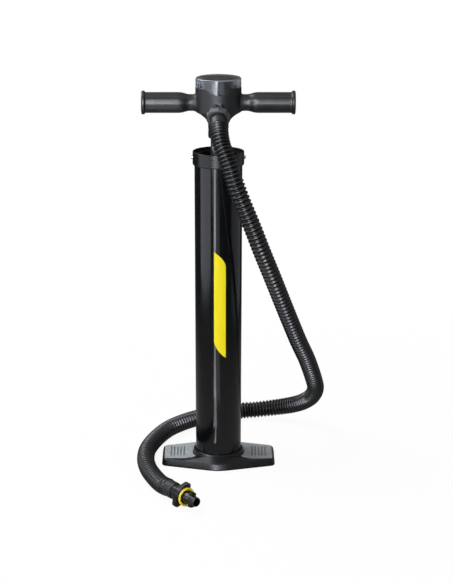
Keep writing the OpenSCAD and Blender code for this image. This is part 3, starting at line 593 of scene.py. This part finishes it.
# Points of the hose's wall, and how near each one is to a ridge's crest
def hoseWall(centres):
    last = len(centres) - 1
    points = []
    ridgeShare = []
    across = Vector((1, 0, 0))
    for i, centre in enumerate(centres):
        if i == 0:
            along = portDirection()
        elif i == last:
            along = nozzleDirection()
        else:
            along = (centres[i + 1] - centres[i - 1]).normalized()
        across = (across - across.dot(along) * along).normalized()
        other = along.cross(across)
        groove = (1 + math.cos(2 * math.pi * i / hose["ringsPerRidge"])) / 2
        radius = hose["diameter"] / 2 - hose["crestInset"] - hose["ridgeDepth"] * groove
        for k in range(hose["sides"]):
            angle = 2 * math.pi * k / hose["sides"]
            points.append(centre + radius * (math.cos(angle) * across + math.sin(angle) * other))
            ridgeShare.append(1 - groove)
    return points, ridgeShare


def makeHose():
    centres, length = hoseCentres()
    points, ridgeShare = hoseWall(centres)
    sides = hose["sides"]
    last = len(centres) - 1
    faces = []
    for i in range(last):
        for k in range(sides):
            n = (k + 1) % sides
            faces.append((i * sides + k, i * sides + n, (i + 1) * sides + n, (i + 1) * sides + k))
    faces.append(tuple(range(sides - 1, -1, -1)))
    faces.append(tuple(last * sides + k for k in range(sides)))
    mesh = bpy.data.meshes.new("corrugatedHose")
    mesh.from_pydata(points, [], faces)
    ridge = mesh.attributes.new("ridge", "FLOAT", "POINT")
    ridge.data.foreach_set("value", ridgeShare)
    mesh.materials.append(hosePolyethylene)
    piece = addPiece("corrugatedHose", mesh)
    bpy.ops.object.mode_set(mode="EDIT")
    bpy.ops.mesh.select_all(action="SELECT")
    bpy.ops.mesh.normals_make_consistent(inside=False)
    bpy.ops.object.mode_set(mode="OBJECT")
    bpy.ops.object.shade_smooth()
    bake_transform(piece)
    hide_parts("hose_tube")
    print("hose", round(length, 3), "m,", last // hose["ringsPerRidge"], "ridges")


# Finish of each CAD node that stays
nodeFinish = {
    satinPolypropylene: ["hose_cuff_upper", "hose_cuff_lower", "barrel_plug", "gauge_case", "grip_plugs"],
    glossPolypropylene: ["barrel_cap"],
    gripPolypropylene: ["grip_left", "grip_right"],
    barrelAbs: ["barrel_tube"],
    drawnAluminium: ["rod_tube"],
    zincSteel: ["rod_pins", "piston_nut"],
    brass: ["gauge_stem", "gauge_spiral"],
    nitrileRubber: ["plug_ring", "lower_buffer", "upper_buffer", "cap_gasket", "rod_wiper", "piston_ring"],
    naturalAcetal: ["rod_bush", "air_tube"],
    innerPolypropylene: ["piston_body", "valve_block", "grip_core_left", "grip_core_right"],
    siliconeRubber: ["valves_down", "valves_up"],
    dialEnamel: ["gauge_dial"],
    needleLacquer: ["gauge_needle"],
}
for material, names in nodeFinish.items():
    for name in names:
        slots = nodes[name].data.materials
        if len(slots):
            slots[0] = material
        else:
            slots.append(material)
print("finishes set")


# Moulded pieces: a merged copy of the CAD node, remeshed finely and relaxed so that its edges
# and inner corners round off; node, piece, body, voxel in mm, passes, finish
mouldings = [
    ("handle_hub", "handleHub", "handle", 0.8, 6, satinPolypropylene),
    ("base_foot", "footBase", "stand", 0.9, 5, basePolypropylene),
    ("foot_pad_left", "footPadLeft", "stand", 0.35, 2, footPadRubber),
    ("foot_pad_right", "footPadRight", "stand", 0.35, 2, footPadRubber),
    ("hose_nut", "hoseNut", "nut", 0.45, 3, greyNylon),
    ("nozzle_body", "nozzleBody", "nozzle", 0.5, 4, glossPolypropylene),
    ("nozzle_tip", "nozzleTip", "nozzle", 0.4, 3, glossPolypropylene),
]
mouldingRelax = 0.5         # share of the way that a point moves in each pass

# The hub's arms stay sharp at their ends, where the grips butt on
hubEnd = {
    "sharp": 0.0025,
    "trim": 0.0008,
    "grow": 0.00015,
    "flat": 0.99,           # part of a cut face's normal along the arm
    "near": 1e-5,           # reach within which a face lies in the cut
}


def squareEnds(piece, reach):
    for sign in (-1, 1):
        selectFaces(piece, lambda face: True)
        cut = (reach - hubEnd["trim"]) * sign
        bpy.ops.mesh.bisect(plane_co=(cut, 0, 0), plane_no=(sign, 0, 0), use_fill=True, clear_outer=True)
        selectFaces(piece, lambda face: (face.normal.x * sign > hubEnd["flat"]
                                         and abs(face.center.x - cut) < hubEnd["near"]))
        bpy.ops.transform.translate(value=((hubEnd["trim"] + hubEnd["grow"]) * sign, 0, 0))
        bpy.ops.object.mode_set(mode="OBJECT")


def makeMoulding(node, name, body, voxel, passes, material):
    piece = addPiece(name, nodes[node].data.copy())
    mergeDoubles(piece)
    applyModifier(piece, "REMESH", mode="VOXEL", voxel_size=voxel * mm)
    soft = piece.vertex_groups.new(name="soft")
    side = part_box(node)[1].x - hubEnd["sharp"] if node == "handle_hub" else math.inf
    soft.add([point.index for point in piece.data.vertices if abs(point.co.x) < side], 1, "REPLACE")
    applyModifier(piece, "SMOOTH", factor=mouldingRelax, iterations=passes, vertex_group=soft.name)
    piece.vertex_groups.clear()
    if node == "handle_hub":
        squareEnds(piece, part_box(node)[1].x)
    print(name, len(piece.data.polygons), "faces")
    return finishPiece(piece, name, body, material, smoothAngle=50, node=node)


moulded = {row[1]: makeMoulding(*row) for row in mouldings}


# Gauge cover: a copy of the CAD node whose broad walls keep their own normals
def makeCover():
    piece = addPiece("gaugeCover", nodes["gauge_lens"].data.copy())
    bpy.ops.mesh.customdata_custom_splitnormals_clear()
    mergeDoubles(piece)
    finishPiece(piece, "gaugeCover", "handle", clearPolycarbonate, smoothAngle=30, node="gauge_lens")
    applyModifier(piece, "WEIGHTED_NORMAL", keep_sharp=True)
    print("gaugeCover", len(piece.data.polygons), "faces")


makeCover()


# Sealing ring: a round rubber ring with a faint parting ridge outside
sealRing = {
    "middleRadius": 0.0124,
    "thick": 0.0034,
    "ridge": 1.008,         # how far the outermost points are drawn out
    "ridgeReach": 1e-5,     # points this near the outside make the ridge
    "segments": 96,
    "sides": 24,
}


def makeSealRing():
    deselectAll()
    bpy.ops.mesh.primitive_torus_add(
        major_radius=sealRing["middleRadius"], minor_radius=sealRing["thick"] / 2,
        major_segments=sealRing["segments"], minor_segments=sealRing["sides"])
    piece = bpy.context.object
    bpy.ops.object.mode_set(mode="EDIT")
    bpy.ops.mesh.select_mode(type="VERT")
    bpy.ops.mesh.select_all(action="DESELECT")
    bpy.ops.object.mode_set(mode="OBJECT")
    outside = sealRing["middleRadius"] + sealRing["thick"] / 2
    for point in piece.data.vertices:
        point.select = point.co.xy.length > outside - sealRing["ridgeReach"]
    bpy.ops.object.mode_set(mode="EDIT")
    bpy.ops.transform.resize(value=(sealRing["ridge"], sealRing["ridge"], 1))
    bpy.ops.object.mode_set(mode="OBJECT")
    low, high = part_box("nozzle_gasket")
    piece.location = (low + high) / 2
    piece.rotation_euler = nozzleDirection().to_track_quat("Z", "Y").to_euler()
    return finishPiece(piece, "sealRing", "nozzle", yellowRubber, smoothAngle=40, node="nozzle_gasket")


nozzlePieces = [moulded["nozzleBody"], moulded["nozzleTip"], makeSealRing()]
makeHose()


# Pan-head screws with a cross recess: one is modelled along +Z, and the rest are copies
screw = {
    "headRadius": 0.0028,
    "headHigh": 0.0021,
    "headSides": 40,
    "crown": 0.0013,
    "crownSteps": 5,
    "shankRadius": 0.0015,
    "recessLong": 0.0034,
    "recessWide": 0.0008,
    "recessDeep": 0.0011,
    "recessTurns": (45, 135),   # degrees
    "capLong": 0.0083,
    "baseLong": 0.011,
    "baseCircle": 0.0224,
    "baseSeat": 0.0024,
}


def makeScrew(shankLong):
    deselectAll()
    bpy.ops.mesh.primitive_cylinder_add(
        vertices=screw["headSides"], radius=screw["headRadius"], depth=screw["headHigh"],
        location=(0, 0, screw["headHigh"] / 2))
    piece = bpy.context.object
    bpy.ops.object.transform_apply(location=True)
    selectFaces(piece, lambda face: face.normal.z > facing)
    bpy.ops.mesh.bevel(offset=screw["crown"], segments=screw["crownSteps"], affect="EDGES")
    selectFaces(piece, lambda face: face.normal.z < -facing)
    bpy.ops.mesh.inset(thickness=screw["headRadius"] - screw["shankRadius"])
    bpy.ops.mesh.extrude_region_move(TRANSFORM_OT_translate={"value": (0, 0, -shankLong)})
    bpy.ops.object.mode_set(mode="OBJECT")
    for angle in screw["recessTurns"]:
        deselectAll()
        bpy.ops.mesh.primitive_cube_add(
            size=1, location=(0, 0, screw["headHigh"]), rotation=(0, 0, math.radians(angle)),
            scale=(screw["recessLong"], screw["recessWide"], 2 * screw["recessDeep"]))
        cutter = bpy.context.object
        applyModifier(piece, "BOOLEAN", operation="DIFFERENCE", object=cutter)
        bpy.data.objects.remove(cutter)
    return piece


def makeScrews(name, node, shankLong, places):
    first = makeScrew(shankLong)
    copies = []
    for place, turn in places:
        makeActive(first)
        bpy.ops.object.duplicate(linked=False)
        copy = bpy.context.object
        copy.location = place
        copy.rotation_euler = turn
        bpy.ops.object.transform_apply(location=True, rotation=True)
        copies.append(copy)
    bpy.data.objects.remove(first)
    finishPiece(joinPieces(copies), name, "stand", zincSteel, smoothAngle=30, node=node)
    print(name, len(places), "screws")


capLow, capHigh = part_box("cap_screws")
capSeat = capHigh.x - screw["headHigh"]
capLevel = (capLow.z + capHigh.z) / 2
capPlaces = [((capSeat * sign, 0, capLevel), (0, math.pi / 2 * sign, 0)) for sign in (1, -1)]
makeScrews("capScrews", "cap_screws", screw["capLong"], capPlaces)
corner = screw["baseCircle"] * math.sqrt(0.5)
basePlaces = [((x, y, screw["baseSeat"]), (math.pi, 0, 0))
              for x in (-corner, corner) for y in (-corner, corner)]
makeScrews("baseScrews", "base_screws", screw["baseLong"], basePlaces)


# Label: a bare yellow vinyl strip on the barrel, each end cut to a point on one side
label = {
    "bottom": 0.174,
    "top": 0.339,
    "left": -0.0065,
    "right": 0.011,
    "topSlant": 0.0244,     # drop of the upper end from left to right
    "bottomSlant": 0.0285,
    "barrelFoot": 0.03475,  # radius of the barrel's lower end
    "proud": 0.00005,
    "thick": 0.00015,
    "sides": 256,           # of the whole turn that the strip is cut from
    "endCuts": 8,
}


# Planes that trim the strip: its two sides, the barrel's rear half, and its ends; each end runs
# from a point into the far side along a parabola, trimmed by planes that touch it
def labelCuts():
    left = label["left"]
    right = label["right"]
    width = right - left
    ends = [(label["topSlant"], right, label["top"] - label["topSlant"], 1),
            (label["bottomSlant"], left, label["bottom"] + label["bottomSlant"], -1)]
    cuts = [((left, 0, 0), (-1, 0, 0)), ((right, 0, 0), (1, 0, 0)), ((0, 0, 0), (0, 1, 0))]
    for i in range(label["endCuts"]):
        t = (i + 0.5) / label["endCuts"]
        for slant, edge, start, sign in ends:
            away = Vector((slant, 0, 2 * width * t)).normalized()
            cuts.append(((edge - sign * width * t * t, 0, start + sign * slant * t), away * sign))
    return cuts


def makeLabel():
    low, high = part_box("barrel_tube")
    bottom = label["bottom"]
    top = label["top"]
    taper = ((high.x - low.x) / 2 - label["barrelFoot"]) / (high.z - low.z)
    radiusAt = [label["barrelFoot"] + taper * (z - low.z) + label["proud"] for z in (bottom, top)]
    deselectAll()
    bpy.ops.mesh.primitive_cone_add(
        vertices=label["sides"], radius1=radiusAt[0], radius2=radiusAt[1], depth=top - bottom,
        end_fill_type="NOTHING", location=(0, 0, (top + bottom) / 2))
    piece = bpy.context.object
    bpy.ops.object.transform_apply(location=True)
    bpy.ops.object.mode_set(mode="EDIT")
    for point, away in labelCuts():
        bpy.ops.mesh.select_all(action="SELECT")
        bpy.ops.mesh.bisect(plane_co=point, plane_no=away, clear_outer=True)
    mergeDoubles(piece)
    applyModifier(piece, "SOLIDIFY", thickness=label["thick"], offset=1)
    finishPiece(piece, "barrelLabel", "stand", labelVinyl)
    print("label made,", len(piece.data.polygons), "faces")


makeLabel()


# Dial marks: ticks and numbers round the gauge's face
dial = {
    "radius": 0.0178,
    "tickLong": 0.0032,
    "tickShort": 0.0019,
    "tickWide": 0.0005,
    "longWider": 1.5,       # how much wider the long ticks are
    "thick": 0.00012,
    "fromAngle": 225,       # degrees, counter-clockwise from +X
    "sweep": 270,
    "steps": 20,
    "numberEvery": 5,
    "numberHigh": 0.0042,
    "numberRadius": 0.0118,
}


def dialPlace(radius, angle):
    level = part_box("gauge_dial")[1].z + dial["thick"] / 2
    return radius * math.cos(angle), radius * math.sin(angle), level


def makeTick(angle, isLong):
    size = dial["tickLong"] if isLong else dial["tickShort"]
    wide = dial["tickWide"] * (dial["longWider"] if isLong else 1)
    deselectAll()
    bpy.ops.mesh.primitive_cube_add(
        size=1, location=dialPlace(dial["radius"] - size / 2, angle),
        rotation=(0, 0, angle), scale=(size, wide, dial["thick"]))
    bpy.ops.object.transform_apply(location=True, rotation=True, scale=True)
    return bpy.context.object


def makeNumber(value, angle):
    deselectAll()
    bpy.ops.object.text_add()
    text = bpy.context.object.data
    text.body = str(value)
    text.size = dial["numberHigh"]
    text.align_x = "CENTER"
    text.align_y = "CENTER"
    text.extrude = dial["thick"] / 2
    bpy.ops.object.convert(target="MESH")
    number = bpy.context.object
    number.location = dialPlace(dial["numberRadius"], angle)
    bpy.ops.object.transform_apply(location=True)
    return number


def makeDialMarks():
    parts = []
    for i in range(dial["steps"] + 1):
        angle = math.radians(dial["fromAngle"] - dial["sweep"] * i / dial["steps"])
        isLong = i % dial["numberEvery"] == 0
        parts.append(makeTick(angle, isLong))
        if isLong:
            parts.append(makeNumber(i, angle))
    finishPiece(joinPieces(parts), "dialMarks", "handle", dialInk)
    print("dial marked")


makeDialMarks()


# Floor: a plain pale sheet that shows white and keeps a faint shadow; glossy plastic sees it
# grow dim with distance, as a sheet of paper in a dark room does
floorSheet = {
    "span": 60,
    "paper": "#f7f7f7",
    "glow": "#ffffff",
    "nearGlow": 0.93,       # share of the surface that shows plain white, by the pump
    "farGlow": 1.0,
    "nearReach": 0.1,       # metres from the pump
    "farReach": 0.95,
    "nearMirror": 0.3,      # level that glossy plastic sees
    "farMirror": 0.04,
}


def floorMaterial():
    material = bpy.data.materials.new("paleFloor")
    material.use_nodes = True
    tree = material.node_tree
    tree.nodes.clear()
    rays = addNode(tree, "ShaderNodeLightPath").outputs
    place = addNode(tree, "ShaderNodeNewGeometry").outputs["Position"]
    away = addNode(tree, "ShaderNodeVectorMath", {0: place}, operation="LENGTH").outputs["Value"]
    reach = {"Value": away, "From Min": floorSheet["nearReach"], "From Max": floorSheet["farReach"]}
    # the share that glows, for the eye, for mirrors and through the clear cover
    seen = addNode(tree, "ShaderNodeMath", {0: rays["Is Camera Ray"], 1: rays["Is Glossy Ray"]},
                   operation="MAXIMUM")
    seenToo = addNode(tree, "ShaderNodeMath", {0: seen.outputs["Value"], 1: rays["Is Transmission Ray"]},
                      operation="MAXIMUM")
    glowPart = addNode(tree, "ShaderNodeMapRange",
                       reach | {"To Min": floorSheet["nearGlow"], "To Max": floorSheet["farGlow"]})
    share = addNode(tree, "ShaderNodeMath", {0: seenToo.outputs["Value"], 1: glowPart.outputs["Result"]},
                    operation="MULTIPLY")
    # the level of that glow, which is lower for mirrors
    mirrored = addNode(tree, "ShaderNodeMath", {0: rays["Is Glossy Ray"], 1: rays["Is Transmission Ray"]},
                       operation="SUBTRACT", use_clamp=True)
    mirrorLoss = addNode(tree, "ShaderNodeMapRange",
                         reach | {"To Min": 1 - floorSheet["nearMirror"],
                                  "To Max": 1 - floorSheet["farMirror"]},
                         interpolation_type="SMOOTHSTEP")
    loss = addNode(tree, "ShaderNodeMath", {0: mirrored.outputs["Value"], 1: mirrorLoss.outputs["Result"]},
                   operation="MULTIPLY")
    level = addNode(tree, "ShaderNodeMath", {0: 1, 1: loss.outputs["Value"]}, operation="SUBTRACT")
    matt = addNode(tree, "ShaderNodeBsdfDiffuse", {"Color": hexToLinear(floorSheet["paper"])})
    glow = addNode(tree, "ShaderNodeEmission",
                   {"Color": hexToLinear(floorSheet["glow"]), "Strength": level.outputs["Value"]})
    mixed = addNode(tree, "ShaderNodeMixShader",
                    {0: share.outputs["Value"], 1: matt.outputs["BSDF"], 2: glow.outputs["Emission"]})
    addNode(tree, "ShaderNodeOutputMaterial", {"Surface": mixed.outputs["Shader"]})
    return material


def makeFloor():
    deselectAll()
    bpy.ops.mesh.primitive_plane_add(size=floorSheet["span"], location=(0, 0, 0))
    floor = bpy.context.object
    floor.name = "paleFloor"
    floor.data.materials.append(floorMaterial())


# Lamps: name, place, point aimed at, width, height, watts, and the rays that see it; one that aims
# at nothing lies flat, facing up, with its height in line with the barrel; the cards, strips and
# bands for gloss only draw what glossy plastic mirrors
lamps = [
    ("keySoftbox", (-1.05, -2.2, 0.82), (0, 0, 0.45), 1.0, 1.6, 27, "matt"),
    ("topSoftbox", (-0.9, 0.2, 2.1), (0, 0, 0.3), 1.2, 1.2, 33, "matt"),
    ("frontStrip", (-0.42, -2.66, 1.04), (0, 0, 0.55), 0.36, 1.76, 39, "gloss"),
    ("frontLow", (-0.8, -2.3, 0.08), (0, 0, 0.3), 1.1, 0.12, 5, "gloss"),
    ("frontMiddle", (-0.3, -2.45, 0.6), (0, 0, 0.5), 1.3, 0.2, 21, "gloss"),
    ("frontHigh", (-0.8, -2.2, 1.9), (0, 0, 0.45), 1.1, 0.9, 40, "gloss"),
    ("frontRight", (0.8, -2.55, 0.95), (0, 0, 0.45), 1.0, 1.9, 5, "gloss"),
    ("topCard", (0, -0.3, 2.2), (0, 0, 0.5), 1.6, 0.8, 3, "gloss"),
    ("leftHigh", (-0.97, 0.36, 1.65), (0, -0.05, 0.45), 1.1, 1.1, 28, "gloss"),
    ("leftCard", (-0.914, -0.407, 0.35), (0, 0, 0.35), 1.1, 0.7, 4.2, "gloss"),
    ("rightCard", (0.79, 0.1, 0.3), (0, 0, 0.3), 1.0, 0.6, 0.7, "gloss"),
    ("footStrip", (-0.0165, -0.0825, 0.032), None, 0.006, 0.07, 0.0066, "gloss"),
    ("lowStrip", (-0.0496, -0.1989, 0.032), None, 0.034, 0.17, 0.072, "gloss"),
    ("nearStrip", (-0.15, -0.5, 0.004), None, 0.07, 0.35, 0.44, "gloss"),
    ("midStrip", (-0.29, -0.96, 0.004), None, 0.13, 0.6, 1.1, "gloss"),
    ("farStrip", (-0.54, -1.78, 0.004), None, 0.25, 1.1, 7.3, "gloss"),
    ("nearBand", (-0.02, -0.55, 0.003), None, 0.13, 0.45, 0.14, "gloss"),
    ("farBand", (-0.05, -1.35, 0.003), None, 0.36, 1.1, 0.9, "gloss"),
]
glossTint = "#f3f6ff"       # colour of the lamps for gloss


def makeLamps():
    for name, place, target, width, height, watts, rays in lamps:
        deselectAll()
        bpy.ops.object.light_add(type="AREA", location=place)
        lamp = bpy.context.object
        lamp.name = name
        lamp.data.shape = "RECTANGLE"
        lamp.data.size = width
        lamp.data.size_y = height
        lamp.data.energy = watts
        if rays == "gloss":
            lamp.data.color = hexToLinear(glossTint)[:3]
        if target:
            lamp.rotation_euler = (Vector(target) - Vector(place)).to_track_quat("-Z", "Y").to_euler()
        else:
            lamp.rotation_euler = (math.pi, 0, math.atan2(place[1], place[0]) + math.pi / 2)
        lamp.visible_camera = False
        lamp.visible_diffuse = rays != "gloss"
        lamp.visible_glossy = rays != "matt"


# Room: dim at the horizon and brighter overhead, while the camera sees it plain white
room = {
    "colour": "#ffffff",
    "lowHeight": 0.15,      # upward part of a direction
    "highHeight": 0.8,
    "lowLevel": 0.07,
    "highLevel": 0.45,
}


def makeRoom():
    world = bpy.data.worlds.new("paleRoom")
    bpy.context.scene.world = world
    world.use_nodes = True
    tree = world.node_tree
    way = addNode(tree, "ShaderNodeTexCoord").outputs["Generated"]
    height = addNode(tree, "ShaderNodeSeparateXYZ", {"Vector": way}).outputs["Z"]
    level = addNode(tree, "ShaderNodeMapRange",
                    {"Value": height, "From Min": room["lowHeight"], "From Max": room["highHeight"],
                     "To Min": room["lowLevel"], "To Max": room["highLevel"]})
    seen = addNode(tree, "ShaderNodeLightPath").outputs["Is Camera Ray"]
    strength = addNode(tree, "ShaderNodeMath", {0: seen, 1: level.outputs["Result"]}, operation="MAXIMUM")
    fillInputs(tree, tree.nodes["Background"],
               {"Color": hexToLinear(room["colour"]), "Strength": strength.outputs["Value"]})


makeFloor()
makeLamps()
makeRoom()
bpy.context.scene.view_settings.view_transform = "Standard"
print("floor and light set")
